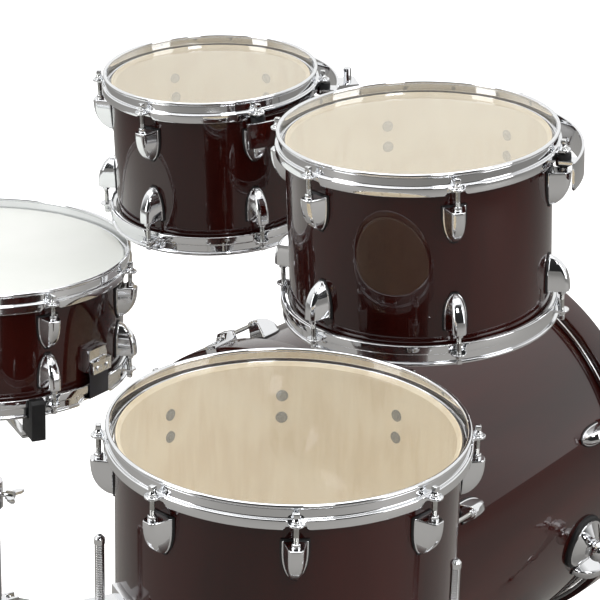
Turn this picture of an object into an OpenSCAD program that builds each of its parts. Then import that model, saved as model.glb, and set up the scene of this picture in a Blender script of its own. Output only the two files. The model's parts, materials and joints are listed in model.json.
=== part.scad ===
// Acoustic drum kit: bass drum, two rack toms, floor tom, snare drum, tom holder and snare stand.
// Millimetres. +Z up, floor at Z = 0, bass drum axis along Y, listener side at -Y, player at +Y.

/* [Drum sizes] */
// Bass drum shell diameter
bass_d = 508; // [400:1:620]
// Bass drum shell depth
bass_depth = 406; // [330:1:500]
// Small rack tom shell diameter
tom_small_d = 254; // [200:1:310]
// Small rack tom shell depth
tom_small_depth = 177.8; // [145:0.1:215]
// Large rack tom shell diameter
tom_large_d = 304.8; // [250:0.1:370]
// Large rack tom shell depth
tom_large_depth = 203.2; // [165:0.1:245]
// Floor tom shell diameter
floor_tom_d = 355.6; // [290:0.1:430]
// Floor tom shell depth
floor_tom_depth = 355.6; // [290:0.1:430]
// Snare drum shell diameter
snare_d = 355.6; // [290:0.1:430]
// Snare drum shell depth
snare_depth = 139.7; // [130:0.1:170]

/* [Setup] */
// Gap between bass drum shell and small tom
tom_small_lift = 121.8; // [100:1:160]
// Gap between bass drum shell and large tom
tom_large_lift = 136.4; // [110:1:180]
// Floor tom rim height
floor_tom_rim_z = 693; // [620:1:780]
// Lean of the rack toms toward the player
tom_lean = 3.4; // [0:0.1:6]
// Lean of the snare drum
snare_lean = 1.7; // [0:0.1:4]
// Gap from the small tom's lowest edge down to the snare rim
snare_under_tom = 8.6; // [6:0.1:20]

/* [Shells and heads] */
// Shell wall
wall = 6; // [4.5:0.1:9]
// Head film
film = 0.4; // [0.3:0.05:0.8]

/* [Hardware] */
// Rim bead height over the shell edge
rim_h = 12.4; // [10:0.1:15]
// Tension rod circle, outside the shell
rod_out = 16; // [15:0.1:19]
// Tension rod radius
rod_r = 2.8; // [2.2:0.1:3.2]
// Lug length along the shell
lug_len = 42; // [34:1:46]
// Lug width
lug_w = 26; // [20:1:30]
// Lug reach from the shell
lug_out = 25; // [23:0.5:28]
// Holder rod radius
arm_r = 5; // [4.5:0.1:6]
// Floor tom leg radius
leg_r = 5; // [4.5:0.1:6]

/* [Hidden] */
$fn = 48;
run_gap = 0.06;
tom_lug_gap = 29;
snare_lug_gap = 24;
bass_lug_gap = 45;
hoop_t = 2.3;
ear_top = -2.5;
kit_shift = [-10.98, -108.27, 0];

bass_r = bass_d / 2;
hoop_wood_t = 10;
hoop_wood_in = 3.6;
bass_hoop_r = bass_r + hoop_wood_in + hoop_wood_t;
hoop_wood_w = 42;
bass_z = bass_hoop_r;
bass_y = 5;
bass_rod_out = 20;
bass_top = bass_z + bass_r;
bass_lugs_n = 8;

tom_small_r = tom_small_d / 2;
tom_large_r = tom_large_d / 2;
floor_tom_r = floor_tom_d / 2;
snare_r = snare_d / 2;

function polar(a, r) = [r * cos(a), r * sin(a)];
function up3(p, z) = [p.x, p.y, z];
function rz(v, a) = [v.x * cos(a) - v.y * sin(a), v.x * sin(a) + v.y * cos(a), v.z];
function ry(v, a) = [v.x * cos(a) + v.z * sin(a), v.y, -v.x * sin(a) + v.z * cos(a)];
function leaned(v, az, deg) = rz(ry(rz(v, -az), deg), az);
function unleaned(v, az, deg) = rz(ry(rz(v, -az), -deg), az);

// Where each unit stands: a drum grows away from its anchor, so neighbours keep their clearance
holder_xy = [0, -140];
tom_small_az = 23.7;
tom_large_az = 138.2;
tom_small_lean_az = 72;
tom_large_lean_az = 56;
tom_small_o = up3(holder_xy + polar(tom_small_az, tom_small_r + 84.8),
                  bass_top + tom_small_lift + rim_h + tom_small_depth - 0.2);
tom_large_o = up3(holder_xy + polar(tom_large_az, tom_large_r + 126.6),
                  bass_top + tom_large_lift + rim_h + tom_large_depth - 0.2);
floor_tom_o = up3([-240, 286] + polar(125, floor_tom_r), floor_tom_rim_z - rim_h);
snare_lean_az = -62;
tom_small_low = bass_top + tom_small_lift - (tom_small_r + 9.4) * sin(tom_lean);
snare_o = up3([238, 61] + polar(48, snare_r), tom_small_low - snare_under_tom + 6.9 - rim_h - 0.3);

// Tension rod counts and the bearing of the first rod
tom_small_rods = 6;
tom_small_a0 = 35;
tom_large_rods = 6;
tom_large_a0 = 21.4;
floor_tom_rods = 8;
floor_tom_a0 = 41.8;
snare_rods = 8;
snare_a0 = 26.8;

// Tom holder: post head height and the bearing of each tom's clamp block
head_z = tom_small_o.z - 68.6;
head_half = 28;
tom_small_block_az = -130;
tom_large_block_az = -75;
band_in = 33;
band_t = 3;
band_top = -10;
band_low = -42;
block_out = 50;

// ---- Placement ----------------------------------------------------------------------------

module lean(az, deg) rotate([0, 0, az]) rotate([0, deg, 0]) rotate([0, 0, -az]) children();
module at_bass() translate(kit_shift + [0, bass_y, bass_z]) rotate([-90, 0, 0]) children();
module at_small_tom() translate(kit_shift + tom_small_o) lean(tom_small_lean_az, tom_lean) children();
module at_large_tom() translate(kit_shift + tom_large_o) lean(tom_large_lean_az, tom_lean) children();
module at_floor_tom() translate(kit_shift + floor_tom_o) children();
module at_snare() translate(kit_shift + snare_o) lean(snare_lean_az, snare_lean) children();

// ---- Drum pieces, about a drum standing on Z with its batter edge at Z = 0 ---------------------

module shell(r, depth)
    rotate_extrude($fn = 96) polygon([
        [r - wall, -3.5], [r - 2.5, 0], [r - 1.5, 0], [r, -1.5],
        [r, -depth + 1.5], [r - 1.5, -depth], [r - 2.5, -depth], [r - wall, -depth + 3.5]]);

module head(r)
    rotate_extrude($fn = 96) polygon([
        [0, 0], [r + 0.3, 0], [r + 0.5, -0.6], [r + 0.5, -5.6], [r + 1.6, -6], [r + 1.6, -12],
        [r + 6.6, -12], [r + 6.6, -5.1], [r + 1.0, -5.1], [r + 0.9, film], [0, film]]);

module bottom(depth) translate([0, 0, -depth]) mirror([0, 0, 1]) children();

module rim(r, n, a0)
    difference() {
        union() {
            difference() {
                rotate_extrude($fn = 96) {
                    polygon([[r + 2.6, -5], [r + 8.4, -5], [r + 8.4, -13], [r + 10.8, -13],
                        [r + 10.8, -5 + hoop_t], [r + 7.2, -5 + hoop_t], [r + 7.2, rim_h - 3],
                        [r + 4.9, rim_h - 3], [r + 4.9, -5 + hoop_t], [r + 2.6, -5 + hoop_t]]);
                    translate([r + 7, rim_h - 2.4]) circle(r = 2.4, $fn = 24);
                }
                for (i = [0 : n - 1]) rotate([0, 0, a0 + i * 360 / n])
                    translate([r + rod_out, 0, -14]) cylinder(r = 9, h = 8.5);
            }
            for (i = [0 : n - 1]) rotate([0, 0, a0 + i * 360 / n]) {
                translate([r + rod_out, 0, ear_top - 2.7]) cylinder(r = 8.2, h = 2.7);
                translate([r + 7.6, -7, ear_top - 2.6]) cube([rod_out - 7.6, 14, 2.5]);
            }
        }
        for (i = [0 : n - 1]) rotate([0, 0, a0 + i * 360 / n])
            translate([r + rod_out, 0, -7]) cylinder(r = rod_r + 0.4, h = 7);
    }

module lug_blank()
    intersection() {
        translate([0, lug_w / 2, 0]) rotate([90, 0, 0]) linear_extrude(lug_w) polygon([
            [-4, 0], [lug_out - 1.5, 0], [lug_out, -3], [lug_out - 0.5, -13], [lug_out - 4, -23],
            [lug_out - 11, -32], [lug_out - 18, -lug_len + 3], [3, -lug_len], [-4, -lug_len]]);
        translate([-4, 0, 0]) rotate([0, 90, 0]) linear_extrude(lug_out + 5) polygon([
            [0, -lug_w / 2], [12, -lug_w / 2], [24, -lug_w / 2 + 2.5], [34, -lug_w / 2 + 7],
            [lug_len - 2, -2.5], [lug_len, 0], [lug_len - 2, 2.5], [34, lug_w / 2 - 7],
            [24, lug_w / 2 - 2.5], [12, lug_w / 2], [0, lug_w / 2]]);
        translate([0, 0, -lug_len]) linear_extrude(lug_len) polygon([
            [-4, -lug_w / 2], [13, -lug_w / 2], [lug_out - 3, -lug_w / 4], [lug_out, 0],
            [lug_out - 3, lug_w / 4], [13, lug_w / 2], [-4, lug_w / 2]]);
    }

module lug_row(r, n, a0, gap, out)
    for (i = [0 : n - 1]) rotate([0, 0, a0 + i * 360 / n])
        difference() {
            translate([r, 0, -gap]) lug_blank();
            translate([r + out, 0, -gap - 26]) cylinder(r = rod_r + 0.3, h = 27);
        }

module screw_row(r, n, a0, gap)
    for (i = [0 : n - 1], z = [10, 36]) rotate([0, 0, a0 + i * 360 / n])
        translate([r - wall - 2.4, 0, -gap - z]) rotate([0, 90, 0]) cylinder(r = 6.6, h = 4, $fn = 32);

module lugs(r, depth, n, a0, gap, out = rod_out) {
    difference() {
        union() {
            lug_row(r, n, a0, gap, out);
            bottom(depth) lug_row(r, n, a0, gap, out);
        }
        translate([0, 0, -depth - 1]) cylinder(r = r, h = depth + 2, $fn = 96);
    }
    // Screw heads that hold each lug, against the inside of the shell
    intersection() {
        union() {
            screw_row(r, n, a0, gap);
            bottom(depth) screw_row(r, n, a0, gap);
        }
        translate([0, 0, -depth]) cylinder(r = r - wall - 0.01, h = depth, $fn = 96);
    }
}

module rod(seat, foot) {
    translate([0, 0, foot]) cylinder(r = rod_r, h = seat - foot);
    translate([0, 0, seat]) cylinder(r = 5.8, h = 1.2);
    translate([0, 0, seat + 1.2]) cylinder(r = 4.6, h = 3);
    translate([-3.2, -3.2, seat + 4.2]) cube([6.4, 6.4, 6.6]);
}

module rod_row(r, n, a0, gap, out = rod_out, seat = ear_top)
    for (i = [0 : n - 1]) rotate([0, 0, a0 + i * 360 / n])
        translate([r + out, 0, 0]) rod(seat, -gap - 22);

module rods(r, depth, n, a0, gap) {
    rod_row(r, n, a0, gap);
    bottom(depth) rod_row(r, n, a0, gap);
}

// ---- Small fittings ---------------------------------------------------------------------------

module wing_bolt() {
    rotate([0, 90, 0]) {
        cylinder(r = 3.5, h = 14);
        translate([0, 0, 8]) cylinder(r = 6.5, h = 11);
    }
    for (s = [0, 1]) mirror([0, s, 0]) translate([10, 0, -2]) linear_extrude(4)
        polygon([[0, 0], [0, 7], [5, 15], [12, 20], [16, 18], [15, 12], [9, 5], [8, 0]]);
}

module band(r) {
    sweep = 136;
    difference() {
        translate([0, 0, band_low]) difference() {
            cylinder(r = r + band_in + band_t, h = band_top - band_low, $fn = 96);
            translate([0, 0, -1]) cylinder(r = r + band_in, h = band_top - band_low + 2, $fn = 96);
        }
        rotate([0, 0, sweep / 2]) translate([-2 * r - 100, 0, band_low - 1])
            cube([2 * r + 100, 2 * r + 100, 100]);
        rotate([0, 0, sweep / 2]) translate([-2, 0, band_low - 1]) cube([2 * r, 2 * r, 100]);
        rotate([0, 0, -sweep / 2]) translate([-2 * r - 100, -2 * r - 100, band_low - 1])
            cube([2 * r + 100, 2 * r + 100, 100]);
        rotate([0, 0, -sweep / 2]) translate([-2, -2 * r, band_low - 1]) cube([2 * r, 2 * r, 100]);
    }
}

module suspension(r, mid_az, block_az, out = rod_out) {
    rotate([0, 0, mid_az]) {
        band(r);
        for (a = [-60, 0, 60]) rotate([0, 0, a]) difference() {
            union() {
                translate([r + 12, -9, -19]) cube([band_in - 10, 18, 4]);
                translate([r + out, 0, -22]) cylinder(r = 9, h = 14);
            }
            translate([r + out, 0, -23]) cylinder(r = rod_r + 0.5, h = 16);
            translate([0, 0, -30]) cylinder(r = r + 1, h = 40, $fn = 96);
        }
    }
    rotate([0, 0, block_az]) {
        difference() {
            translate([r + band_in + band_t - 1.5, -16, -58]) cube([27.5, 32, 36]);
            translate([r + block_out, 0, -60]) cylinder(r = arm_r + run_gap, h = 60);
            cylinder(r = r + band_in + band_t / 2, h = 200, center = true, $fn = 96);
        }
        translate([r + 61, 0, -40]) wing_bolt();
    }
}

module small_arm_frame() translate(kit_shift + small_joint) lean(tom_small_lean_az, tom_lean) children();
module large_arm_frame() translate(kit_shift + large_joint) lean(tom_large_lean_az, tom_lean) children();

small_joint = up3(holder_xy + [head_half, 0], head_z);
large_joint = up3(holder_xy - [head_half, 0], head_z);
small_joint_l = unleaned(small_joint - tom_small_o, tom_small_lean_az, tom_lean);
large_joint_l = unleaned(large_joint - tom_large_o, tom_large_lean_az, tom_lean);
small_leg_xy = polar(tom_small_block_az, tom_small_r + block_out);
large_leg_xy = polar(tom_large_block_az, tom_large_r + block_out);
function bearing(v) = atan2(v.y, v.x);
small_arm_az = bearing(small_leg_xy - [small_joint_l.x, small_joint_l.y]);
large_arm_az = bearing(large_leg_xy - [large_joint_l.x, large_joint_l.y]);
small_arm_len = norm(small_leg_xy - [small_joint_l.x, small_joint_l.y]);
large_arm_len = norm(large_leg_xy - [large_joint_l.x, large_joint_l.y]);

// L-rod: level leg from the clamp out to the elbow, upright leg from the elbow to the tom block
module l_rod(len, rise) {
    bend = 16;
    translate([-12, 0, 0]) rotate([0, 90, 0]) cylinder(r = arm_r, h = len + 12 - bend);
    translate([len - bend, 0, bend]) rotate([90, 0, 0]) rotate([0, 0, -90])
        rotate_extrude(angle = 90) translate([bend, 0]) circle(r = arm_r, $fn = 32);
    translate([len, 0, bend]) cylinder(r = arm_r, h = rise - bend);
}

module rod_clamp() {
    difference() {
        translate([-20, 0, 0]) rotate([0, 90, 0]) cylinder(r = 12.5, h = 38);
        translate([-13, 0, 0]) rotate([0, 90, 0]) cylinder(r = arm_r + run_gap, h = 40);
    }
    translate([6, 0, -10]) rotate([0, 90, 0]) wing_bolt();
}

module leg_bracket(r) {
    difference() {
        union() {
            translate([r - 3, -20, -30]) cube([11, 40, 60]);
            translate([r + 6, -14, -22]) cube([34, 28, 44]);
        }
        translate([r + 28, 0, -31]) cylinder(r = leg_r + run_gap, h = 62);
        cylinder(r = r, h = 100, center = true, $fn = 96);
    }
    translate([r + 39, 0, 0]) wing_bolt();
}

module floor_leg(top, bottom_z) {
    out = 26;
    knee = bottom_z + 150;
    translate([0, 0, knee]) cylinder(r = leg_r, h = top - 3 - knee);
    translate([0, 0, top - 9]) cylinder(r = leg_r + 0.6, h = 6);
    translate([0, 0, top - 3]) cylinder(r1 = leg_r + 0.6, r2 = leg_r - 2, h = 3);
    translate([0, 0, knee]) sphere(r = leg_r + 0.4);
    translate([0, 0, knee]) rotate([0, 180 - atan(out / 60), 0]) cylinder(r = leg_r, h = norm([out, 60]));
    translate([out, 0, knee - 60]) sphere(r = leg_r + 0.4);
    translate([out, 0, bottom_z + 20]) cylinder(r = leg_r, h = knee - 80 - bottom_z);
    translate([out, 0, bottom_z]) cylinder(r1 = 15, r2 = 9, h = 36);
}

// ---- Bass drum ------------------------------------------------------------------------------

bass_a0 = -90 + 22.5;

module bass_shell() color([0.25, 0.06, 0.05]) difference() {
    at_bass() shell(bass_r, bass_depth);
    translate(kit_shift + up3(holder_xy, bass_top - 30)) cylinder(r = post_r + 0.7, h = 60);
}
module bass_batter_head() color([0.9, 0.88, 0.82]) at_bass() head(bass_r);
module bass_front_head() color([0.9, 0.88, 0.82]) at_bass() bottom(bass_depth) head(bass_r);

module wood_hoop() translate([0, 0, -5.1]) difference() {
    cylinder(r = bass_hoop_r, h = hoop_wood_w, $fn = 96);
    translate([0, 0, -1]) cylinder(r = bass_r + hoop_wood_in, h = hoop_wood_w + 2, $fn = 96);
}
module bass_hoops() color([0.2, 0.05, 0.04]) at_bass() {
    wood_hoop();
    bottom(bass_depth) wood_hoop();
}
module bass_lugs() color([0.85, 0.85, 0.87]) at_bass()
    lugs(bass_r, bass_depth, bass_lugs_n, bass_a0, bass_lug_gap, bass_rod_out);

hoop_face = hoop_wood_w - 5.1;
module claw()
    difference() {
        translate([bass_r, 9, 0]) rotate([90, 0, 0]) linear_extrude(18) polygon([
            [13.65, -2], [26, -2], [26, 12], [18.5, 18], [17, hoop_face + 3], [5, hoop_face + 3],
            [4, hoop_face + 0.05], [13.65, hoop_face + 0.05]]);
        translate([bass_r + bass_rod_out, 0, -3]) cylinder(r = rod_r + 0.3, h = 22);
        translate([bass_r + bass_rod_out, 0, 12]) cylinder(r = 6.2, h = 20);
    }
module claw_row() for (i = [0 : bass_lugs_n - 1])
    rotate([0, 0, bass_a0 + i * 360 / bass_lugs_n]) claw();
module bass_claws() color([0.85, 0.85, 0.87]) at_bass() {
    claw_row();
    bottom(bass_depth) claw_row();
}
module bass_rod_row() rod_row(bass_r, bass_lugs_n, bass_a0, bass_lug_gap, bass_rod_out, 12);
module bass_tension_rods() color([0.8, 0.8, 0.82]) at_bass() {
    bass_rod_row();
    bottom(bass_depth) bass_rod_row();
}

// ---- Spurs: bracket on the shell, folding tube, sliding rod --------------------------------------

spur_angle = 100;
spur_y = bass_y - bass_depth + 91;
spur_reach = bass_r + 26;
spur_tilt = 26;
spur_swing = 25;
spur_k = [spur_reach * sin(spur_angle), spur_y, bass_z + spur_reach * cos(spur_angle)];
spur_eye = 26;
spur_drop = spur_k.z + spur_eye * sin(spur_tilt);
spur_len = (spur_drop - 9) / (cos(spur_tilt) * cos(spur_swing));

module spur_side(left) translate(kit_shift) mirror([left ? 0 : 1, 0, 0]) children();
module spur_axis_frame() translate(spur_k) rotate([0, -spur_tilt, 0]) children();
module spur_frame() spur_axis_frame() translate([spur_eye, 0, 0]) rotate([-spur_swing, 0, 0]) children();

module spur_bracket() {
    difference() {
        translate([0, spur_y, bass_z]) rotate([0, spur_angle, 0]) {
            translate([0, 0, bass_r - 6]) cylinder(r = 34, h = 12);
            translate([0, 0, bass_r + 5]) cylinder(r1 = 33, r2 = 16, h = 11);
            translate([0, 0, bass_r + 10]) cylinder(r = 12, h = 16);
        }
        translate([0, 0, bass_z]) rotate([-90, 0, 0]) cylinder(r = bass_r, h = 2000, center = true, $fn = 96);
    }
    spur_axis_frame() {
        sphere(r = 15);
        rotate([0, 90, 0]) cylinder(r = 8.94, h = 37);
        translate([36, 0, 0]) rotate([0, 90, 0]) cylinder(r = 13, h = 4);
        translate([38, 0, 0]) wing_bolt();
    }
}
module spur_brackets() color([0.85, 0.85, 0.87]) {
    spur_side(true) spur_bracket();
    spur_side(false) spur_bracket();
}

module spur_tube() color([0.8, 0.8, 0.82]) spur_frame() difference() {
    union() {
        translate([-8, 0, 0]) rotate([0, 90, 0]) cylinder(r = 16, h = 16);
        translate([0, 0, -150]) cylinder(r = 8, h = 140);
        translate([0, 0, -156]) cylinder(r = 11, h = 18);
    }
    translate([-9, 0, 0]) rotate([0, 90, 0]) cylinder(r = 9, h = 18);
    translate([0, 0, -157]) cylinder(r = 6 + run_gap, h = 132);
}
module spur_rod() color([0.7, 0.7, 0.72]) spur_frame() {
    translate([0, 0, -spur_len + 6]) cylinder(r = 6, h = spur_len - 6 - 90);
    translate([0, 0, -spur_len]) sphere(r = 9);
}
module spur_tube_left() spur_side(true) spur_tube();
module spur_rod_left() spur_side(true) spur_rod();
module spur_tube_right() spur_side(false) spur_tube();
module spur_rod_right() spur_side(false) spur_rod();

// ---- Tom holder ---------------------------------------------------------------------------------

post_r = 12.7;

module tom_holder_base() color([0.85, 0.85, 0.87]) translate(kit_shift + up3(holder_xy, 0)) {
    difference() {
        union() {
            translate([-34, -42, bass_top - 8]) cube([68, 84, 14]);
            translate([0, 0, bass_top]) cylinder(r = 21, h = 44);
        }
        translate([0, 0, bass_z]) rotate([-90, 0, 0]) cylinder(r = bass_r, h = 400, center = true, $fn = 96);
        translate([0, 0, bass_top - 20]) cylinder(r = post_r + run_gap, h = 100);
    }
    translate([0, -19, bass_top + 28]) rotate([0, 0, -90]) wing_bolt();
}

module tom_holder_post() color([0.8, 0.8, 0.82]) {
    translate(kit_shift + up3(holder_xy, bass_top - 60))
        cylinder(r = post_r, h = head_z + 14 - bass_top + 60);
    translate(kit_shift + up3(holder_xy, head_z + 14)) cylinder(r1 = post_r, r2 = 9, h = 3);
    small_arm_frame() rotate([0, 0, small_arm_az]) rod_clamp();
    large_arm_frame() rotate([0, 0, large_arm_az]) rod_clamp();
}
module small_tom_arm() color([0.8, 0.8, 0.82]) small_arm_frame() rotate([0, 0, small_arm_az])
    l_rod(small_arm_len, -small_joint_l.z - 4);
module large_tom_arm() color([0.8, 0.8, 0.82]) large_arm_frame() rotate([0, 0, large_arm_az])
    l_rod(large_arm_len, -large_joint_l.z - 4);

// ---- Rack toms ------------------------------------------------------------------------------------

module small_tom_shell() color([0.25, 0.06, 0.05]) at_small_tom() shell(tom_small_r, tom_small_depth);
module small_tom_batter_head() color([0.9, 0.88, 0.82]) at_small_tom() head(tom_small_r);
module small_tom_resonant_head() color([0.9, 0.88, 0.82])
    at_small_tom() bottom(tom_small_depth) head(tom_small_r);
module small_tom_hoops() color([0.85, 0.85, 0.87]) at_small_tom() {
    rim(tom_small_r, tom_small_rods, tom_small_a0);
    bottom(tom_small_depth) rim(tom_small_r, tom_small_rods, tom_small_a0);
}
module small_tom_lugs() color([0.85, 0.85, 0.87])
    at_small_tom() lugs(tom_small_r, tom_small_depth, tom_small_rods, tom_small_a0, tom_lug_gap);
module small_tom_tension_rods() color([0.8, 0.8, 0.82])
    at_small_tom() rods(tom_small_r, tom_small_depth, tom_small_rods, tom_small_a0, tom_lug_gap);
module small_tom_suspension() color([0.75, 0.75, 0.77])
    at_small_tom() suspension(tom_small_r, -145, tom_small_block_az);

module large_tom_shell() color([0.25, 0.06, 0.05]) at_large_tom() shell(tom_large_r, tom_large_depth);
module large_tom_batter_head() color([0.9, 0.88, 0.82]) at_large_tom() head(tom_large_r);
module large_tom_resonant_head() color([0.9, 0.88, 0.82])
    at_large_tom() bottom(tom_large_depth) head(tom_large_r);
module large_tom_hoops() color([0.85, 0.85, 0.87]) at_large_tom() {
    rim(tom_large_r, tom_large_rods, tom_large_a0);
    bottom(tom_large_depth) rim(tom_large_r, tom_large_rods, tom_large_a0);
}
module large_tom_lugs() color([0.85, 0.85, 0.87])
    at_large_tom() lugs(tom_large_r, tom_large_depth, tom_large_rods, tom_large_a0, tom_lug_gap);
module large_tom_tension_rods() color([0.8, 0.8, 0.82])
    at_large_tom() rods(tom_large_r, tom_large_depth, tom_large_rods, tom_large_a0, tom_lug_gap);
module large_tom_suspension() color([0.75, 0.75, 0.77])
    at_large_tom() suspension(tom_large_r, -98.6, tom_large_block_az);

// ---- Floor tom --------------------------------------------------------------------------------------

leg_az = [63.8, -176.2, -56.2];
leg_top = -78;
bracket_z = -floor_tom_depth / 2;

module floor_tom_shell() color([0.25, 0.06, 0.05]) at_floor_tom() shell(floor_tom_r, floor_tom_depth);
module floor_tom_batter_head() color([0.9, 0.88, 0.82]) at_floor_tom() head(floor_tom_r);
module floor_tom_resonant_head() color([0.9, 0.88, 0.82])
    at_floor_tom() bottom(floor_tom_depth) head(floor_tom_r);
module floor_tom_hoops() color([0.85, 0.85, 0.87]) at_floor_tom() {
    rim(floor_tom_r, floor_tom_rods, floor_tom_a0);
    bottom(floor_tom_depth) rim(floor_tom_r, floor_tom_rods, floor_tom_a0);
}
module floor_tom_lugs() color([0.85, 0.85, 0.87])
    at_floor_tom() lugs(floor_tom_r, floor_tom_depth, floor_tom_rods, floor_tom_a0, tom_lug_gap);
module floor_tom_tension_rods() color([0.8, 0.8, 0.82])
    at_floor_tom() rods(floor_tom_r, floor_tom_depth, floor_tom_rods, floor_tom_a0, tom_lug_gap);
module floor_tom_leg_brackets() color([0.85, 0.85, 0.87]) at_floor_tom()
    for (a = leg_az) rotate([0, 0, a]) translate([0, 0, bracket_z]) leg_bracket(floor_tom_r);
module placed_leg(i) color([0.8, 0.8, 0.82]) at_floor_tom() rotate([0, 0, leg_az[i]])
    translate([floor_tom_r + 28, 0, 0]) floor_leg(leg_top, -floor_tom_o.z);
module floor_tom_leg_a() placed_leg(0);
module floor_tom_leg_b() placed_leg(1);
module floor_tom_leg_c() placed_leg(2);

// ---- Snare drum ---------------------------------------------------------------------------------------

gate_az = 4.3;
gate_w = 46;

module snare_shell() color([0.25, 0.06, 0.05]) at_snare() shell(snare_r, snare_depth);
module snare_batter_head() color([0.85, 0.86, 0.83]) at_snare() head(snare_r);
module snare_side_head() color([0.9, 0.88, 0.82]) at_snare() bottom(snare_depth) head(snare_r);
module snare_hoops() color([0.85, 0.85, 0.87]) at_snare() {
    rim(snare_r, snare_rods, snare_a0);
    difference() {
        bottom(snare_depth) rim(snare_r, snare_rods, snare_a0);
        rotate([0, 0, gate_az]) translate([-snare_r - 20, -gate_w / 2, -snare_depth - rim_h + 3.2])
            cube([2 * snare_r + 40, gate_w, rim_h - 6]);
    }
}
module snare_lugs() color([0.85, 0.85, 0.87])
    at_snare() lugs(snare_r, snare_depth, snare_rods, snare_a0, snare_lug_gap);
module snare_tension_rods() color([0.8, 0.8, 0.82])
    at_snare() rods(snare_r, snare_depth, snare_rods, snare_a0, snare_lug_gap);

wire_n = 20;
wire_z = -snare_depth - 1.9;
wire_end = snare_r - 26;
module snare_wires() color([0.75, 0.75, 0.77]) at_snare() rotate([0, 0, gate_az]) {
    for (i = [0 : wire_n - 1]) translate([-wire_end, (i - (wire_n - 1) / 2) * 2, wire_z])
        rotate([0, 90, 0]) cylinder(r = 0.7, h = 2 * wire_end, $fn = 16);
    for (s = [0, 1]) mirror([s, 0, 0]) translate([wire_end - 8, -20.5, wire_z - 2.6]) cube([10, 41, 2.6]);
}
strap_z = wire_z - 3.2;
strap_r = snare_r + 11.4;
strap_top = -snare_depth + 40;
module snare_straps() color([0.1, 0.1, 0.12]) at_snare() rotate([0, 0, gate_az])
    for (s = [0, 1]) mirror([s, 0, 0]) {
        translate([wire_end - 7, -18, strap_z]) cube([strap_r - wire_end + 7.6, 36, 0.6]);
        translate([strap_r, -18, strap_z]) cube([0.6, 36, strap_top - strap_z]);
    }

module throw_off() color([0.85, 0.85, 0.87]) at_snare() rotate([0, 0, gate_az]) difference() {
    union() {
        translate([snare_r - 4, -17, -snare_depth + 46]) cube([12, 34, 60]);
        translate([snare_r + 6, -15, -snare_depth + 52]) cube([16, 30, 48]);
        translate([snare_r + 6, -17, strap_top - 12]) cube([5, 34, 22]);
        translate([strap_r - 1, -17, strap_top + 0.4]) cube([7, 34, 4]);
        translate([strap_r + 1, -17, strap_top - 12]) cube([5, 34, 16]);
        translate([snare_r + 14, 0, -snare_depth + 98]) cylinder(r = 6, h = 14);
    }
    cylinder(r = snare_r, h = 500, center = true, $fn = 96);
    translate([snare_r + 14, 0, -snare_depth + 76]) rotate([90, 0, 0])
        cylinder(r = 3, h = 60, center = true);
}
lever_z = -snare_depth + 76;
module throw_off_lever() color([0.8, 0.8, 0.82]) at_snare() rotate([0, 0, gate_az]) {
    translate([snare_r + 14, 0, lever_z]) rotate([90, 0, 0]) cylinder(r = 2.94, h = 43, center = true);
    for (s = [0, 1]) mirror([0, s, 0]) translate([snare_r + 14, 20, lever_z]) rotate([90, 0, 0])
        linear_extrude(4.4) polygon([[-4, -4], [4, -4], [17, 28], [17, 46], [9, 46], [9, 30], [-4, 8]]);
    translate([snare_r + 23, -20, lever_z + 29]) cube([7.6, 40, 16]);
}
module butt_plate() color([0.85, 0.85, 0.87]) at_snare() rotate([0, 0, gate_az + 180]) difference() {
    union() {
        translate([snare_r - 4, -17, strap_top - 12]) cube([14.6, 34, 30]);
        translate([strap_r + 1, -17, strap_top - 12]) cube([5, 34, 16]);
        translate([strap_r - 1, -17, strap_top + 0.4]) cube([7, 34, 4]);
        for (s = [-9, 9]) translate([strap_r + 5, s, strap_top - 5]) rotate([0, 90, 0]) cylinder(r = 3.4, h = 4);
    }
    cylinder(r = snare_r, h = 500, center = true, $fn = 96);
}

// ---- Snare stand ----------------------------------------------------------------------------------------

hub_drop = snare_depth + rim_h + 38;
pivot_drop = hub_drop + 26;
stand_o = snare_o + leaned([0, 0, -pivot_drop], snare_lean_az, snare_lean);
stand_leg_az = [250, 130, 10];
stand_tube_r = 14;
top_tube_r = 11;
clamp_z = 268;
hub_z = 110;
stand_leg_r = 245;
arm_az = [155, 35, -85];
grip_gap = 0.4;

module at_stand() translate(kit_shift + up3(stand_o, 0)) children();

module stand_base_tube() color([0.8, 0.8, 0.82]) at_stand() {
    difference() {
        union() {
            translate([0, 0, hub_z - 80]) cylinder(r = stand_tube_r, h = clamp_z - hub_z + 80);
            translate([0, 0, clamp_z - 4]) cylinder(r = 19, h = 38);
            translate([0, 0, hub_z - 13]) cylinder(r = 20, h = 26);
            for (a = stand_leg_az) rotate([0, 0, a]) for (s = [-1, 1])
                translate([16, s * 7.6 - 2, hub_z - 11]) cube([20, 4, 22]);
        }
        translate([0, 0, hub_z - 90]) cylinder(r = top_tube_r + run_gap, h = 400);
        for (a = stand_leg_az) rotate([0, 0, a]) translate([30, 0, hub_z]) rotate([90, 0, 0])
            cylinder(r = 3, h = 40, center = true);
    }
    translate([0, 0, hub_z - 86]) cylinder(r = stand_tube_r, h = 6);
    rotate([0, 0, -155]) translate([17, 0, clamp_z + 16]) wing_bolt();
}

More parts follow.
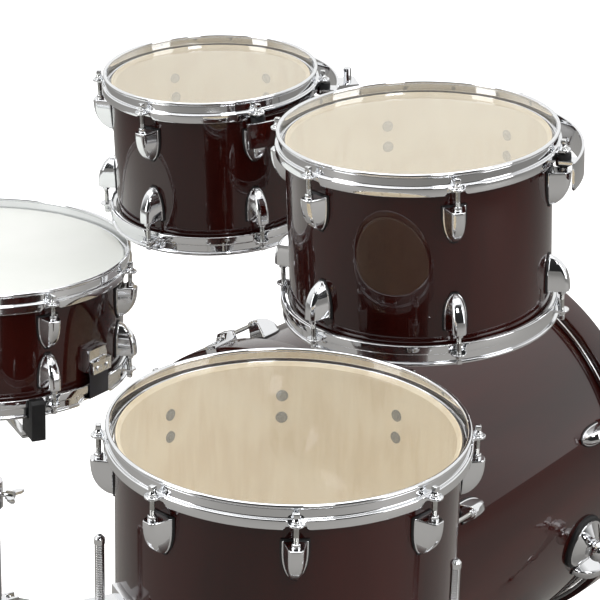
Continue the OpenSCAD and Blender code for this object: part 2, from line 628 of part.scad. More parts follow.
leg_slope = atan((hub_z - 13) / (stand_leg_r - 30));
stand_leg_len = (stand_leg_r - 30) / cos(leg_slope);
module stand_leg() color([0.8, 0.8, 0.82]) {
    translate([30, 0, hub_z]) {
        rotate([90, 0, 0]) cylinder(r = 2.94, h = 19, center = true);
        rotate([90, 0, 0]) cylinder(r = 8, h = 10.4, center = true);
        rotate([0, leg_slope, 0]) translate([2, -5, -6]) cube([stand_leg_len - 2, 10, 12]);
    }
    translate([stand_leg_r, 0, 0]) cylinder(r1 = 15, r2 = 12, h = 20);
}
module stand_leg_a() at_stand() rotate([0, 0, stand_leg_az[0]]) stand_leg();
module stand_leg_b() at_stand() rotate([0, 0, stand_leg_az[1]]) stand_leg();
module stand_leg_c() at_stand() rotate([0, 0, stand_leg_az[2]]) stand_leg();

module stand_top_tube() color([0.8, 0.8, 0.82]) at_stand() {
    translate([0, 0, clamp_z - 90]) cylinder(r = top_tube_r, h = stand_o.z - 14 - clamp_z + 90);
    difference() {
        rotate([0, 0, snare_lean_az]) union() {
            translate([-11, -15, stand_o.z - 18]) cube([22, 30, 6]);
            for (s = [-1, 1]) translate([-11, s * 12.5 - 2.5, stand_o.z - 14]) cube([22, 5, 26]);
        }
        translate([0, 0, stand_o.z]) rotate([0, 0, snare_lean_az]) rotate([90, 0, 0])
            cylinder(r = 4, h = 60, center = true);
    }
}

module at_pivot() translate(kit_shift + stand_o) lean(snare_lean_az, snare_lean) children();
module basket_hub() color([0.8, 0.8, 0.82]) at_pivot() {
    rotate([0, 0, snare_lean_az]) {
        rotate([90, 0, 0]) cylinder(r = 3.94, h = 44, center = true);
        rotate([90, 0, 0]) cylinder(r = 10, h = 19, center = true);
        translate([0, -20, 0]) rotate([0, 0, -90]) wing_bolt();
    }
    cylinder(r = 6, h = 26);
    translate([0, 0, 14.5]) cylinder(r = 12, h = 4);
    difference() {
        union() {
            translate([0, 0, 20]) cylinder(r = 15, h = 12);
            for (a = arm_az) rotate([0, 0, a]) for (s = [-1, 1])
                translate([12, s * 7.6 - 2, 20.6]) cube([16, 4, 10.8]);
        }
        for (a = arm_az) rotate([0, 0, a]) translate([22, 0, 26]) rotate([90, 0, 0])
            cylinder(r = 2.5, h = 40, center = true);
    }
}

// Arm: level bar from the hub, short riser, rubber grip under and outside the snare-side rim
grip_in = snare_r + 12.4;
rim_low = pivot_drop - snare_depth - rim_h;
module basket_arm() color([0.8, 0.8, 0.82]) {
    translate([22, 0, 26]) rotate([90, 0, 0]) cylinder(r = 2.44, h = 19, center = true);
    translate([22, 0, 26]) rotate([90, 0, 0]) cylinder(r = 6, h = 10, center = true);
    translate([24, -5, 23]) cube([grip_in - 60, 10, 6]);
    rotate([90, 0, 0]) linear_extrude(10, center = true) polygon([
        [grip_in - 42, 23], [grip_in - 14, 38], [grip_in - 14, 44], [grip_in - 42, 29]]);
    rotate([90, 0, 0]) linear_extrude(18, center = true) polygon([
        [grip_in - 24, rim_low - 23], [grip_in + 12, rim_low - 25], [grip_in + 12, rim_low + 23],
        [grip_in + 8, rim_low + 27], [grip_in, rim_low + 27], [grip_in, rim_low - grip_gap],
        [grip_in - 24, rim_low - grip_gap]]);
}
module basket_arm_a() at_pivot() rotate([0, 0, arm_az[0]]) basket_arm();
module basket_arm_b() at_pivot() rotate([0, 0, arm_az[1]]) basket_arm();
module basket_arm_c() at_pivot() rotate([0, 0, arm_az[2]]) basket_arm();

// ---- Output ------------------------------------------------------------------------------------------------

bass_shell();
bass_batter_head();
bass_front_head();
bass_hoops();
bass_lugs();
bass_tension_rods();
bass_claws();
spur_brackets();
tom_holder_base();
spur_tube_left();
spur_rod_left();
spur_tube_right();
spur_rod_right();
tom_holder_post();
small_tom_arm();
large_tom_arm();
small_tom_shell();
small_tom_batter_head();
small_tom_resonant_head();
small_tom_hoops();
small_tom_lugs();
small_tom_tension_rods();
small_tom_suspension();
large_tom_shell();
large_tom_batter_head();
large_tom_resonant_head();
large_tom_hoops();
large_tom_lugs();
large_tom_tension_rods();
large_tom_suspension();
floor_tom_shell();
floor_tom_batter_head();
floor_tom_resonant_head();
floor_tom_hoops();
floor_tom_lugs();
floor_tom_tension_rods();
floor_tom_leg_brackets();
floor_tom_leg_a();
floor_tom_leg_b();
floor_tom_leg_c();
snare_shell();
snare_batter_head();
snare_side_head();
snare_hoops();
snare_lugs();
snare_tension_rods();
snare_wires();
snare_straps();
throw_off();
throw_off_lever();
butt_plate();
stand_base_tube();
stand_leg_a();
stand_leg_b();
stand_leg_c();
stand_top_tube();
basket_hub();
basket_arm_a();
basket_arm_b();
basket_arm_c();
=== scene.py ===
"""Looks for the drum kit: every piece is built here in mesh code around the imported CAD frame."""

import json
import math

import bmesh
import bpy
import numpy as np
from mathutils import Matrix, Vector

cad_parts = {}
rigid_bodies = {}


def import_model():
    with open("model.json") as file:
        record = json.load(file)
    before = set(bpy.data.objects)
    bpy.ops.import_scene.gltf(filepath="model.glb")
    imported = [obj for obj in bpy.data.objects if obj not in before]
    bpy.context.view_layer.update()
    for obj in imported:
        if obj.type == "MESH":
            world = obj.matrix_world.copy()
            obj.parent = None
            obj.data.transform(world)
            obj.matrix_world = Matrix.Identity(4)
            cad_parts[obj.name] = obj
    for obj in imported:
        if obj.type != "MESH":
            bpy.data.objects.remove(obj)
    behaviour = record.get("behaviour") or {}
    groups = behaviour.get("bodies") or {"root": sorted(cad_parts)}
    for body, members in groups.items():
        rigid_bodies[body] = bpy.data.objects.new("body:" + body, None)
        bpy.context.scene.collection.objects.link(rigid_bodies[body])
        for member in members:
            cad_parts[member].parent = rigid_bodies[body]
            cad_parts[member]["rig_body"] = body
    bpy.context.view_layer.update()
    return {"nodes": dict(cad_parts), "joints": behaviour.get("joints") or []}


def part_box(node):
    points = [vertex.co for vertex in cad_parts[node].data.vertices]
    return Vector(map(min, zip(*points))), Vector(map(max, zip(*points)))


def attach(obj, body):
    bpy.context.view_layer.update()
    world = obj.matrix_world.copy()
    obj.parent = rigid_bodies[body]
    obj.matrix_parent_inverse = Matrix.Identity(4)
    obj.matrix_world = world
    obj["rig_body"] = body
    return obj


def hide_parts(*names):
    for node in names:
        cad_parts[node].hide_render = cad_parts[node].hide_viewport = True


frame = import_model()
MM = 0.001
NODES = frame["nodes"]
JOINTS = {j["name"]: j for j in frame["joints"]}
SCENE = bpy.context.scene

# ---- Camera -------------------------------------------------------------------------------------

LOOK = Vector((0.6266, -0.7793, 0)).normalized()
PITCH = math.radians(22.57)
ROLL = math.radians(1.47)
EYE = (-1.75303, 2.05204, 1.751)


def place_camera():
    ahead = LOOK * math.cos(PITCH) - Vector((0, 0, 1)) * math.sin(PITCH)
    right = ahead.cross(Vector((0, 0, 1))).normalized()
    up = right.cross(ahead)
    x = right * math.cos(ROLL) + up * math.sin(ROLL)
    y = up * math.cos(ROLL) - right * math.sin(ROLL)
    data = bpy.data.cameras.new("camera")
    data.lens, data.sensor_width = 144.94, 36
    data.clip_end = 100
    cam = bpy.data.objects.new("camera", data)
    SCENE.collection.objects.link(cam)
    cam.matrix_world = Matrix.Translation(EYE) @ Matrix((x, y, -ahead)).transposed().to_4x4()
    SCENE.camera = cam


place_camera()

# ---- Materials ----------------------------------------------------------------------------------


class Paint:
    """A small helper round one node material."""

    def __init__(self, name, **values):
        self.m = bpy.data.materials.new(name)
        self.m.use_nodes = True
        self.t = self.m.node_tree
        self.bsdf = self.t.nodes["Principled BSDF"]
        for k, v in values.items():
            self.set(k, v)

    def set(self, socket, value):
        self.bsdf.inputs[socket.replace("_", " ")].default_value = value

    def node(self, kind, **props):
        n = self.t.nodes.new("ShaderNode" + kind)
        for k, v in props.items():
            if k in n.inputs:
                n.inputs[k].default_value = v
            else:
                setattr(n, k, v)
        return n

    def link(self, a, out, b, into):
        self.t.links.new(a.outputs[out], b.inputs[into])

    def coords(self, scale=(1, 1, 1)):
        tex, m = self.node("TexCoord"), self.node("Mapping")
        m.inputs["Scale"].default_value = scale
        self.link(tex, "Object", m, "Vector")
        return m

    def noise(self, scale, detail=4, stretch=(1, 1, 1), rough=0.5, distort=0.0):
        n = self.node("TexNoise", Scale=scale, Detail=detail, Roughness=rough, Distortion=distort)
        self.link(self.coords(stretch), "Vector", n, "Vector")
        return n

    def ramp(self, source, out, stops):
        r = self.node("ValToRGB")
        e = r.color_ramp.elements
        while len(e) < len(stops):
            e.new(0.5)
        for k, (p, c) in enumerate(stops):
            e[k].position, e[k].color = p, (*c, 1) if len(c) == 3 else c
        self.link(source, out, r, "Fac")
        return r

    def rough(self, source, out, low, high):
        r = self.node("MapRange")
        r.inputs["To Min"].default_value, r.inputs["To Max"].default_value = low, high
        self.link(source, out, r, "Value")
        self.link(r, "Result", self.bsdf, "Roughness")

    def bump(self, source, out, strength, distance=0.0005):
        b = self.node("Bump")
        b.inputs["Strength"].default_value, b.inputs["Distance"].default_value = strength, distance
        self.link(source, out, b, "Height")
        self.link(b, "Normal", self.bsdf, "Normal")


def lacquer():
    p = Paint("lacquer", Coat_Weight=1.0, Coat_Roughness=0.006, Coat_IOR=1.5, Specular_IOR_Level=0.08)
    grain = p.noise(9, 6, (1, 1, 0.16), 0.62, 0.4)
    figure = p.noise(2.2, 2, (1, 1, 0.5))
    mix = p.node("Mix", data_type="FLOAT")
    mix.inputs["Factor"].default_value = 0.35
    p.link(grain, "Fac", mix, "A")
    p.link(figure, "Fac", mix, "B")
    shades = [(0.3, (0.010, 0.0012, 0.0008)), (0.5, (0.026, 0.0027, 0.0017)),
              (0.7, (0.052, 0.0056, 0.0032))]
    c = p.ramp(mix, "Result", shades)
    p.link(c, "Color", p.bsdf, "Base Color")
    p.rough(grain, "Fac", 0.2, 0.3)
    return p.m


def plies():
    p = Paint("maple_inside", Roughness=0.5, IOR=1.45, Coat_Weight=0.15, Coat_Roughness=0.3)
    wave = p.node("TexWave", Scale=3.0, Distortion=14.0, Detail=4.0)
    wave.inputs["Detail Scale"].default_value = 1.6
    wave.bands_direction = "Z"
    p.link(p.coords((2.2, 2.2, 0.7)), "Vector", wave, "Vector")
    fine = p.noise(40, 6, (2.4, 2.4, 0.3), 0.65, 0.3)
    mix = p.node("Mix", data_type="FLOAT")
    mix.inputs["Factor"].default_value = 0.72
    p.link(wave, "Fac", mix, "A")
    p.link(fine, "Fac", mix, "B")
    shades = [(0.3, (0.74, 0.61, 0.42)), (0.5, (0.80, 0.69, 0.50)), (0.75, (0.84, 0.75, 0.57))]
    c = p.ramp(mix, "Result", shades)
    p.link(c, "Color", p.bsdf, "Base Color")
    p.bump(fine, "Fac", 0.12)
    return p.m


def chrome(name="chrome", base=(0.86, 0.87, 0.89), low=0.03, high=0.075):
    p = Paint(name, Metallic=1.0, Base_Color=(*base, 1))
    cloud = p.noise(26, 5)
    p.rough(cloud, "Fac", low, high)
    tint = p.ramp(p.noise(6, 2), "Fac", [(0.3, [0.96 * c for c in base]), (0.7, base)])
    p.link(tint, "Color", p.bsdf, "Base Color")
    p.bump(p.noise(90, 2), "Fac", 0.015)
    return p.m


def threaded():
    p = Paint("rod_steel", Metallic=1.0)
    tint = p.ramp(p.noise(40, 3), "Fac", [(0.3, (0.42, 0.42, 0.41)), (0.7, (0.62, 0.62, 0.60))])
    p.link(tint, "Color", p.bsdf, "Base Color")
    p.rough(p.noise(120, 3), "Fac", 0.18, 0.34)
    return p.m


def rubber():
    p = Paint("black_rubber", IOR=1.5, Specular_IOR_Level=0.4)
    c = p.ramp(p.noise(50, 4), "Fac", [(0.3, (0.006, 0.006, 0.007)), (0.7, (0.014, 0.014, 0.015))])
    p.link(c, "Color", p.bsdf, "Base Color")
    p.rough(p.noise(160, 3), "Fac", 0.38, 0.55)
    p.bump(p.noise(700, 2), "Fac", 0.1, 0.0002)
    return p.m


def clear_film(name="clear_film", low=0.2, high=0.5):
    p = Paint(name, IOR=1.5, Coat_Weight=0.5, Coat_Roughness=0.02)
    c = p.ramp(p.noise(3, 2), "Fac", [(0.3, (0.80, 0.745, 0.62)), (0.7, (0.86, 0.81, 0.69))])
    p.link(c, "Color", p.bsdf, "Base Color")
    p.rough(p.noise(14, 4), "Fac", 0.05, 0.12)
    edge = p.node("LayerWeight", Blend=0.35)
    a = p.node("MapRange")
    a.inputs["To Min"].default_value, a.inputs["To Max"].default_value = low, high
    p.link(edge, "Facing", a, "Value")
    p.link(a, "Result", p.bsdf, "Alpha")
    return p.m


def coated_film():
    p = Paint("coated_film", IOR=1.5, Specular_IOR_Level=0.35)
    fine = p.noise(900, 3, rough=0.7)
    c = p.ramp(p.noise(5, 4), "Fac", [(0.3, (0.76, 0.78, 0.74)), (0.7, (0.84, 0.85, 0.82))])
    p.link(c, "Color", p.bsdf, "Base Color")
    p.rough(fine, "Fac", 0.5, 0.75)
    p.bump(fine, "Fac", 0.25, 0.0002)
    return p.m


def knurled():
    p = Paint("ridged_rod", Metallic=1.0)
    tint = p.ramp(p.noise(30, 3), "Fac", [(0.3, (0.62, 0.62, 0.62)), (0.7, (0.78, 0.78, 0.78))])
    p.link(tint, "Color", p.bsdf, "Base Color")
    p.rough(p.noise(60, 2), "Fac", 0.12, 0.2)
    ridge = p.node("TexWave", Scale=1.0)
    ridge.bands_direction = "Z"
    p.link(p.coords((0, 0, 160)), "Vector", ridge, "Vector")
    p.bump(ridge, "Fac", 0.9, 0.0004)
    return p.m


def dark_strip():
    p = Paint("strip_plastic", IOR=1.5)
    c = p.ramp(p.noise(30, 3), "Fac", [(0.3, (0.008, 0.009, 0.018)), (0.7, (0.018, 0.02, 0.034))])
    p.link(c, "Color", p.bsdf, "Base Color")
    p.rough(p.noise(80, 3), "Fac", 0.25, 0.45)
    return p.m


def grey_screw():
    p = Paint("screw_steel", Metallic=0.4)
    c = p.ramp(p.noise(60, 3), "Fac", [(0.3, (0.03, 0.03, 0.03)), (0.7, (0.055, 0.055, 0.053))])
    p.link(c, "Color", p.bsdf, "Base Color")
    p.rough(p.noise(90, 2), "Fac", 0.35, 0.5)
    return p.m


LACQUER, PLIES, CHROME, RODS = lacquer(), plies(), chrome(), threaded()
RUBBER, CLEAR, COATED, STRIP, SCREW = rubber(), clear_film(), coated_film(), dark_strip(), grey_screw()
TUBE = chrome("plated_tube", (0.80, 0.81, 0.82), 0.06, 0.12)
FLOOR_FILM, RIDGED = clear_film("clear_film_large", 0.08, 0.22), knurled()

# ---- Mesh helpers -------------------------------------------------------------------------------


def arc(cx, cy, r, a, b, n=8):
    """Points along an arc from a to b degrees."""
    turns = [math.radians(a + (b - a) * k / n) for k in range(n + 1)]
    return [(cx + r * math.cos(t), cy + r * math.sin(t)) for t in turns]


def in_mm(points):
    return [(x * MM, y * MM) for x, y in points]


def about_z(degrees):
    return Matrix.Rotation(math.radians(degrees), 4, "Z")


def rounded(points, radius, n=3):
    """A closed outline with each corner filleted; radius is one number or one per corner."""
    out, count = [], len(points)
    for i in range(count):
        r = radius[i] if isinstance(radius, (list, tuple)) else radius
        p, a, b = Vector(points[i]), Vector(points[i - 1]), Vector(points[(i + 1) % count])
        u, v = (a - p), (b - p)
        if r <= 0 or u.length < 1e-9 or v.length < 1e-9:
            out += [tuple(p)] * (n + 1)
            continue
        d = min(r, 0.45 * u.length, 0.45 * v.length)
        s, e = p + u.normalized() * d, p + v.normalized() * d
        for k in range(n + 1):
            t = k / n
            out.append(tuple(s * (1 - t) ** 2 + p * (2 * t * (1 - t)) + e * t ** 2))
    return out


def spin(bm, profile, angles, slot=0, closed=True):
    """Faces round local Z. profile is a closed outline of (radius, z), or a function of the angle."""
    rings = []
    for a in angles:
        pts = profile(a) if callable(profile) else profile
        c, s = math.cos(math.radians(a)), math.sin(math.radians(a))
        rings.append([bm.verts.new((r * c, r * s, z)) for r, z in pts])
    n, m = len(rings), len(rings[0])
    for i in range(n if closed else n - 1):
        a, b = rings[i], rings[(i + 1) % n]
        for k in range(m):
            f = bm.faces.new((a[k], b[k], b[(k + 1) % m], a[(k + 1) % m]))
            f.material_index = slot
    return rings


def turned(bm, profile, n=24, slot=0, at=None):
    """A solid turned about local Z: an open profile of (radius, z) whose ends lie on the axis."""
    at = at or Matrix.Identity(4)
    pts = [p for p in profile if p[0] > 1e-7]
    low = bm.verts.new(at @ Vector((0, 0, profile[0][1])))
    high = bm.verts.new(at @ Vector((0, 0, profile[-1][1])))
    turns = [2 * math.pi * k / n for k in range(n)]
    rings = []
    for r, z in pts:
        rings.append([bm.verts.new(at @ Vector((r * math.cos(t), r * math.sin(t), z))) for t in turns])
    faces = []
    for k in range(n):
        j = (k + 1) % n
        faces.append(bm.faces.new((low, rings[0][j], rings[0][k])))
        faces.append(bm.faces.new((high, rings[-1][k], rings[-1][j])))
        for a, b in zip(rings, rings[1:]):
            faces.append(bm.faces.new((a[k], a[j], b[j], b[k])))
    for f in faces:
        f.material_index = slot


def loft(bm, sections, slot=0, at=None):
    """Skin over closed sections of 3-D points, capped at both ends."""
    at = at or Matrix.Identity(4)
    rings = [[bm.verts.new(at @ Vector(p)) for p in s] for s in sections]
    m = len(rings[0])
    faces = []
    for a, b in zip(rings, rings[1:]):
        faces += [bm.faces.new((a[k], a[(k + 1) % m], b[(k + 1) % m], b[k])) for k in range(m)]
    faces += [bm.faces.new(list(reversed(rings[0]))), bm.faces.new(rings[-1])]
    for f in faces:
        f.material_index = slot


def block(bm, low, high, edge=0.0008, slot=0, at=None):
    """A box with rounded upright and level edges."""
    at = at or Matrix.Identity(4)
    (x0, y0, z0), (x1, y1, z1) = low, high
    e = min(edge, 0.4 * min(x1 - x0, y1 - y0, z1 - z0))
    levels = ((z0, e), (z0 + e * 0.3, e * 0.3), (z0 + e, 0),
              (z1 - e, 0), (z1 - e * 0.3, e * 0.3), (z1, e))
    sections = []
    for z, i in levels:
        outline = [(x0 + i, y0 + i), (x1 - i, y0 + i), (x1 - i, y1 - i), (x0 + i, y1 - i)]
        sections.append([(x, y, z) for x, y in rounded(outline, e)])
    loft(bm, sections, slot, at)


def piece(name, bm, mats, body, nodes=(), at=None, sharp=38):
    """Makes an object of a bmesh, in the row frame, riding on a body and standing for CAD nodes."""
    bmesh.ops.remove_doubles(bm, verts=bm.verts, dist=1e-6)
    bmesh.ops.dissolve_degenerate(bm, edges=bm.edges, dist=1e-7)
    bmesh.ops.recalc_face_normals(bm, faces=bm.faces)
    for e in bm.edges:
        e.smooth = len(e.link_faces) == 2 and e.calc_face_angle(0) < math.radians(sharp)
    for f in bm.faces:
        f.smooth = True
    mesh = bpy.data.meshes.new(name)
    bm.to_mesh(mesh)
    bm.free()
    for m in mats:
        mesh.materials.append(m)
    obj = bpy.data.objects.new(name, mesh)
    SCENE.collection.objects.link(obj)
    if at is not None:
        obj.matrix_world = at
    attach(obj, body)
    if nodes:
        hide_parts(*nodes)
    return obj


def body_of(node):
    return NODES[node]["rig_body"]


def softened(node, mats, width=0.0009, pick=None):
    """The CAD node's shape with rounded edges; pick(centre) gives the material slot of a face."""
    bm = bmesh.new()
    bm.from_mesh(NODES[node].data)
    bmesh.ops.remove_doubles(bm, verts=bm.verts, dist=2e-6)
    bmesh.ops.dissolve_limit(bm, angle_limit=math.radians(0.6), verts=bm.verts, edges=bm.edges)
    bmesh.ops.recalc_face_normals(bm, faces=bm.faces)
    edges = [e for e in bm.edges if len(e.link_faces) == 2 and e.calc_face_angle(0) > math.radians(34)]
    bmesh.ops.bevel(bm, geom=edges, offset=width, segments=2, affect="EDGES", clamp_overlap=True,
                    profile=0.6)
    for f in bm.faces:
        f.material_index = pick(f.calc_center_median()) if pick else 0
    return piece(node + "_piece", bm, mats, body_of(node), [node], sharp=32)


# ---- Drums --------------------------------------------------------------------------------------

WALL = 6 * MM
FILM = 0.4 * MM
SCREW_DROPS = (10 * MM, 36 * MM)  # inner screws, measured from the lug's top
EAR_SPAN = 22  # mm of hoop each side of a rod that holds its ear
EAR = 8.3  # ear radius, mm
FLANGE = 10.9  # flange reach between ears, mm


class Drum:
    """Size and place of one drum, read from its shell: local +Z points out of the batter head."""

    def __init__(self, key, shell, axis, rods, a0, gap, out=16 * MM):
        n = Vector(axis).normalized()
        turn = Vector((0, 0, 1)).rotation_difference(n).to_matrix()
        co = np.array([v.co for v in NODES[shell].data.vertices]) @ np.array(turn)
        lo, hi = co.min(0), co.max(0)
        self.key, self.body = key, body_of(shell)
        self.rods, self.a0 = rods, a0
        self.gap, self.out = gap, out
        self.r, self.depth = (hi[0] - lo[0]) / 2, hi[2] - lo[2]
        top = Vector(((lo[0] + hi[0]) / 2, (lo[1] + hi[1]) / 2, hi[2]))
        self.at = Matrix.Translation(turn @ top) @ turn.to_4x4()

    def bearings(self):
        return [self.a0 + k * 360 / self.rods for k in range(self.rods)]

    def ends(self):
        """Local transforms for the batter side and the mirrored far side."""
        far = Matrix.Translation((0, 0, -self.depth)) @ Matrix.Scale(-1, 4, (0, 0, 1))
        return Matrix.Identity(4), far


def even(n):
    return [360 * k / n for k in range(n)]


def transformed(bm, at, build):
    """Runs build on a fresh bmesh, moves the result and adds it to bm."""
    part = bmesh.new()
    build(part)
    bmesh.ops.transform(part, matrix=at, verts=part.verts)
    if at.determinant() < 0:
        bmesh.ops.reverse_faces(part, faces=part.faces)
    tmp = bpy.data.meshes.new("part")
    part.to_mesh(tmp)
    part.free()
    bm.from_mesh(tmp)
    bpy.data.meshes.remove(tmp)


def make_shell(d):
    """Plied shell, lacquered outside, with both bearing edges bevelled inward."""
    r, h, w = d.r, d.depth, WALL
    bm = bmesh.new()
    edge = 1.5 * MM
    outer = [(r - edge, 0)] + arc(r - edge, -edge, edge, 90, 0, 5)[1:] + [(r, -h / 2)]
    outer += arc(r - edge, -h + edge, edge, 0, -90, 5)
    outer += [(r - 2.5 * MM, -h), (r - w, -h + 3.5 * MM), (r - w, -h / 2)]
    outer += [(r - w, -3.5 * MM), (r - 2.5 * MM, 0)]
    spin(bm, outer, even(144))
    for f in bm.faces:
        c = f.calc_center_median()
        f.material_index = 0 if math.hypot(c.x, c.y) > r - 1.2 * MM else 1
    node = d.key + "_shell"
    return piece(node + "_piece", bm, [LACQUER, PLIES], d.body, [node], d.at, 30)


def make_head(d, node, far, mat):
    """A film folded over the bearing edge into its flesh ring; far puts it on the lower side."""
    r, f = d.r, FILM
    bm = bmesh.new()

    def build(b):
        top = [(0, f), (r * 0.5, f), (r - 6 * MM, f), (r - 2.2 * MM, f * 0.9)]
        top += arc(r - 1.9 * MM, -2.4 * MM, 2.8 * MM, 88, 5, 6)
        top += [(r + 1.1 * MM, -5.1 * MM), (r + 1.1 * MM, -5.6 * MM), (r + 0.5 * MM, -5.6 * MM)]
        top += arc(r - 2.0 * MM, -2.4 * MM, 2.35 * MM, 5, 88, 6)
        top += [(r - 6 * MM, 0), (r * 0.5, 0), (0, 0)]
        turned(b, top[::-1], 144)
        inner, outer = r + 1.6 * MM, r + 6.5 * MM
        low, high = -12 * MM, -5.1 * MM
        ring = rounded([(inner, low), (outer, low), (outer, high), (inner, high)], 1.2 * MM)
        spin(b, ring, even(144), 1)

    transformed(bm, d.ends()[1] if far else Matrix.Identity(4), build)
    return piece(node + "_piece", bm, [mat, TUBE], d.body, [node], d.at, 40)


def hoop_angles(d):
    """Angles for a hoop's cross sections, close together round each ear."""
    near = [0, 1, 2, 3, 4, 5, 5.8, 6.5, 7.1, 7.6, 8]
    near += [8.3, 8.8, 9.5, 10.3, 11.2, 12.2, 13.3, 14.5, 16, 18, 20]
    span = [-x for x in near[:0:-1]] + near
    deg = math.degrees(MM / (d.r + d.out))
    out = []
    for a in d.bearings():
        out += [(a + x * deg) % 360 for x in span]
    step = 360 / d.rods
    for a in d.bearings():
        lo, hi = a + EAR_SPAN * deg, a + step - EAR_SPAN * deg
        k = max(6, int((hi - lo) / 2.2))
        out += [(lo + (hi - lo) * i / k) % 360 for i in range(k + 1)]
    return sorted(set(round(x, 5) for x in out))


def flanged_rim(d):
    """Pressed steel hoop: rolled bead, upright wall, flange with an ear at each rod and a skirt."""
    r = d.r
    bearings = d.bearings()

    def outline(a):
        s = min(abs((a - b + 180) % 360 - 180) for b in bearings) * math.radians(1) * (r + 16 * MM) / MM
        ear = math.sqrt(max(0.0, EAR ** 2 - s ** 2)) if s < EAR else 0.0
        out = max(FLANGE, 16 + ear if s < EAR else FLANGE)
        if EAR <= s < 11:
            out = FLANGE + 2.2 * ((11 - s) / 2.7) ** 2
        t = min(1.0, max(0.0, (s - 8.6) / 5.5))
        drop = -5.2 - 8.2 * math.sin(t * math.pi / 2) ** 0.8
        fold = min(out - 2.4, 8.5 + max(0.0, out - FLANGE))
        skirt = min(-5.05, drop)
        pts = [(2.8, -5), (fold, -5), (fold + 0.05, skirt), (out, skirt), (out, -2.6)]
        pts += [(7.2, -2.6), (7.2, 7.4)]
        rad = [0.4, 0.5, 0.9, 1.0, 1.9, 1.6, 0.6]
        body = rounded(pts + [(4.8, 7.4), (4.8, -2.6), (2.8, -2.6)], rad + [0.1, 1.4, 0.4])
        head, tail = body[:7 * 4], body[8 * 4:]
        roll = arc(6.9, 10.0, 2.4, -82, 232, 18)
        return [(r + x * MM, z * MM) for x, z in head + roll + tail]

    return outline


def make_hoops(d, node, gate=None):
    """Both steel hoops; the far one is lifted at the gate bearings for the snare straps."""
    bm = bmesh.new()
    angles, outline = hoop_angles(d), flanged_rim(d)
    for side, at in enumerate(d.ends()):
        shape = outline
        if side and gate:
            def shape(a, f=outline):
                s = min(abs((a - g + 180) % 360 - 180) for g in gate) * math.radians(1) * d.r / MM
                lift = 5.2 * max(0.0, min(1.0, (30 - s) / 7))
                return [(x, z - lift * MM if z > 4 * MM else z) for x, z in f(a)]
        extra = angles
        if side and gate:
            deg = math.degrees(MM / d.r)
            beside = [round((g + x * deg) % 360, 5) for g in gate for x in range(-34, 35, 2)]
            extra = sorted(set(angles + beside))
        transformed(bm, at, lambda b: spin(b, shape, extra))
    return piece(node + "_piece", bm, [CHROME], d.body, [node], d.at, 42)


def bullet(length=42.0, width=13.0, out=25.0):
    """Sections of a lug: a broad mouth by the rim, a raised middle facet and a rounded far end."""
    rows = []
    steps = (0, 0.012, 0.03, 0.1, 0.2, 0.3, 0.4, 0.5, 0.6,
             0.68, 0.76, 0.83, 0.89, 0.935, 0.967, 0.987, 1.0)
    for t in steps:
        k = max(0.0, (t - 0.22) / 0.78)
        w = width * max(0.02, (1 - k ** 2.3)) ** 0.5
        o = out * (1 - 0.06 * t) * max(0.012, (1 - max(0.0, (t - 0.1) / 0.9) ** 2.5)) ** 0.62
        lip = 0.9 if t == 0 else (0.25 if t < 0.02 else 0)
        w, o = w - lip, o - lip
        f = 0.52 * w
        lipx = min(2.6, 0.55 * o)
        half = [(-1.2, w), (lipx, w), (lipx + 0.25, w - min(1.1, 0.2 * w))]
        half += [(0.86 * o, f + 0.35 * min(w - f, 3)), (o - 0.1, f * 0.72)]
        outline = half + [(x, -y) for x, y in reversed(half)]
        pts = rounded(outline, [0.2, 0.7, 0.3, 2.2, 1.6, 1.6, 2.2, 0.3, 0.7, 0.2], 4)
        rows.append([(x * MM, y * MM, -t * length * MM) for x, y in pts])
    return rows


def gasket(length=42.0, width=13.0, grow=1.5, thick=1.5):
    """Sections of the thin rubber sheet between a lug and the shell, a little larger than the lug."""
    rows = []
    outline = []
    for k in range(13):
        t = k / 12
        q = max(0.0, (t - 0.22) / 0.78)
        end = grow if k == 12 else 0
        outline.append((-t * length - end, (width + grow) * max(0.06, (1 - q ** 2.3)) ** 0.5))
    ring = [(grow, width + grow - 0.4)] + outline
    ring = ring + [(z, -w) for z, w in reversed(ring)]
    for x, s in ((-1.3, 0), (thick - 0.5, 0), (thick, 0.5)):
        rows.append([(x * MM, math.copysign(max(0.2, abs(w) - s), w) * MM, z * MM) for z, w in ring])
    return rows


LUG_NUT = in_mm([(0, -8), (4.9, -8), (4.9, 1.0), (4.4, 1.5), (4.4, 2.2), (4.9, 2.7),
                 (4.7, 4.6), (3.9, 5.2), (0, 5.2)])
SCREW_HEAD = in_mm([(0, -0.1), (6.6, -0.1), (6.6, 0.8), (6.2, 1.1), (4.2, 1.2),
                    (4.0, 1.7), (3.2, 2.3), (1.6, 2.5), (0, 2.4)])


def make_lugs(d, node):
    """Lugs with their swivel nuts and inner screw heads, and a gasket under each."""
    bm = bmesh.new()
    rubber_part = bmesh.new()
    inward = Matrix.Rotation(-math.pi / 2, 4, "Y")
    for end in d.ends():
        for a in d.bearings():
            at = end @ about_z(a) @ Matrix.Translation((d.r, 0, -d.gap))
            transformed(bm, at, lambda b: loft(b, bullet()))
            transformed(bm, at @ Matrix.Translation((d.out, 0, 0)), lambda b: turned(b, LUG_NUT, 20))
            transformed(rubber_part, at, lambda b: loft(b, gasket()))
            for drop in SCREW_DROPS:
                seat = Matrix.Translation((d.r - WALL, 0, -d.gap - drop))
                transformed(bm, end @ about_z(a) @ seat @ inward, lambda b: turned(b, SCREW_HEAD, 24, 1))
    lugs = piece(node + "_piece", bm, [CHROME, SCREW], d.body, [node], d.at, 34)
    piece(node + "_gaskets", rubber_part, [RUBBER], d.body, (), d.at, 50)
    return lugs


